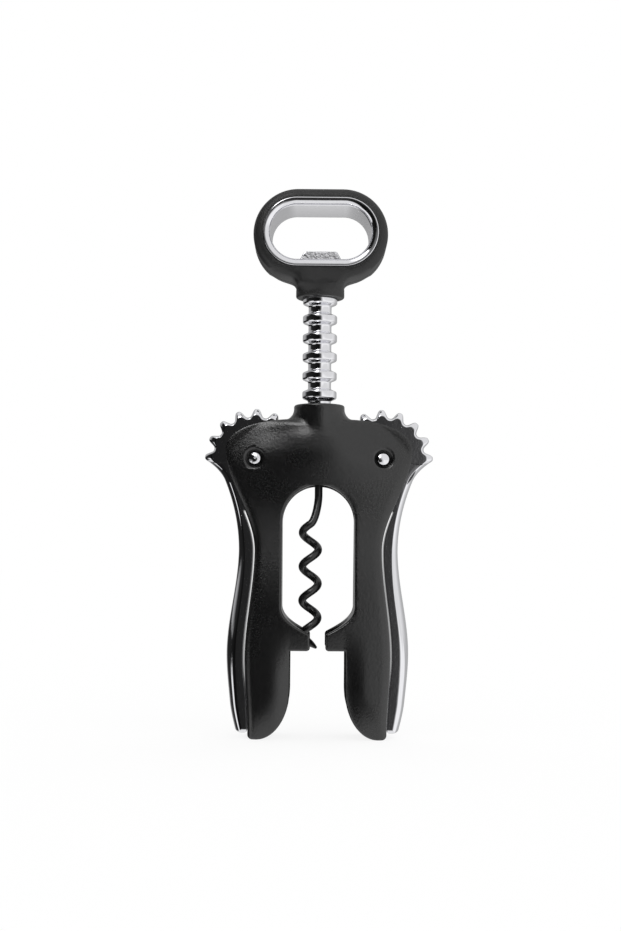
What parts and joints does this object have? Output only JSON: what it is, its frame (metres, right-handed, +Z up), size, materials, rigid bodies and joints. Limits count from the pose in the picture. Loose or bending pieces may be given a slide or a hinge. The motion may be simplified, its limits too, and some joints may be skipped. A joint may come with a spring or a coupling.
{
  "type": "corkscrew",
  "caption": "Double-lever corkscrew with a black split frame, geared chrome levers, a ringed rack that carries the worm and a ring handle with a cap lifter.",
  "frame": {"origin": "middle of the object's base, under the worm, on the plane that the legs' toes stand on", "axes": "+Z up the rack and worm, -Y to the front, +X to the right as seen from the front"},
  "size_m": [0.0782, 0.0236, 0.187],
  "materials": {
    "body_plastic": "black, fine spark grain, soft sheen",
    "grip_rubber": "black, smooth satin",
    "guide_nylon": "black, smooth",
    "chrome_plate": "polished plate",
    "coated_wire": "black low-friction coat, semi-gloss",
    "plain_steel": "plain"
  },
  "bodies": {
    "frame": {"frame_front_shell": "body_plastic", "frame_back_shell": "body_plastic", "left_pivot_rivet": "chrome_plate", "right_pivot_rivet": "chrome_plate", "left_rivet_cap": "chrome_plate", "right_rivet_cap": "chrome_plate", "left_leg_screw": "plain_steel", "right_leg_screw": "plain_steel", "left_front_washer": "plain_steel", "left_back_washer": "plain_steel", "right_front_washer": "plain_steel", "right_back_washer": "plain_steel"},
    "guide": {"guide_bush": "guide_nylon"},
    "rack": {"rack": "chrome_plate", "worm": "coated_wire", "worm_pin": "plain_steel", "opener_ring": "chrome_plate", "grip_front": "grip_rubber", "grip_back": "grip_rubber", "handle_pin": "plain_steel"},
    "left_lever": {"left_lever": "chrome_plate"},
    "right_lever": {"right_lever": "chrome_plate"}
  },
  "joints": [
    {"name": "handle_spin", "type": "hinge", "parent": "frame", "child": "guide", "pos_m": [0, 0, 0.11], "axis": [0, 0, 1], "continuous": true},
    {"name": "rack_slide", "type": "slide", "parent": "guide", "child": "rack", "axis": [0, 0, -1], "range_m": [0, 0.03609]},
    {"name": "left_lever_swing", "type": "hinge", "parent": "frame", "child": "left_lever", "pos_m": [-0.02193, 0, 0.0954], "axis": [0, 1, 0], "range_deg": [0, 125.2]},
    {"name": "right_lever_swing", "type": "hinge", "parent": "frame", "child": "right_lever", "pos_m": [0.02193, 0, 0.0954], "axis": [0, -1, 0], "range_deg": [0, 125.2]}
  ],
  "couplings": [
    {"joint": "left_lever_swing", "follows": "rack_slide", "rad_per_m": 60.508},
    {"joint": "right_lever_swing", "follows": "rack_slide", "rad_per_m": 60.508}
  ]
}
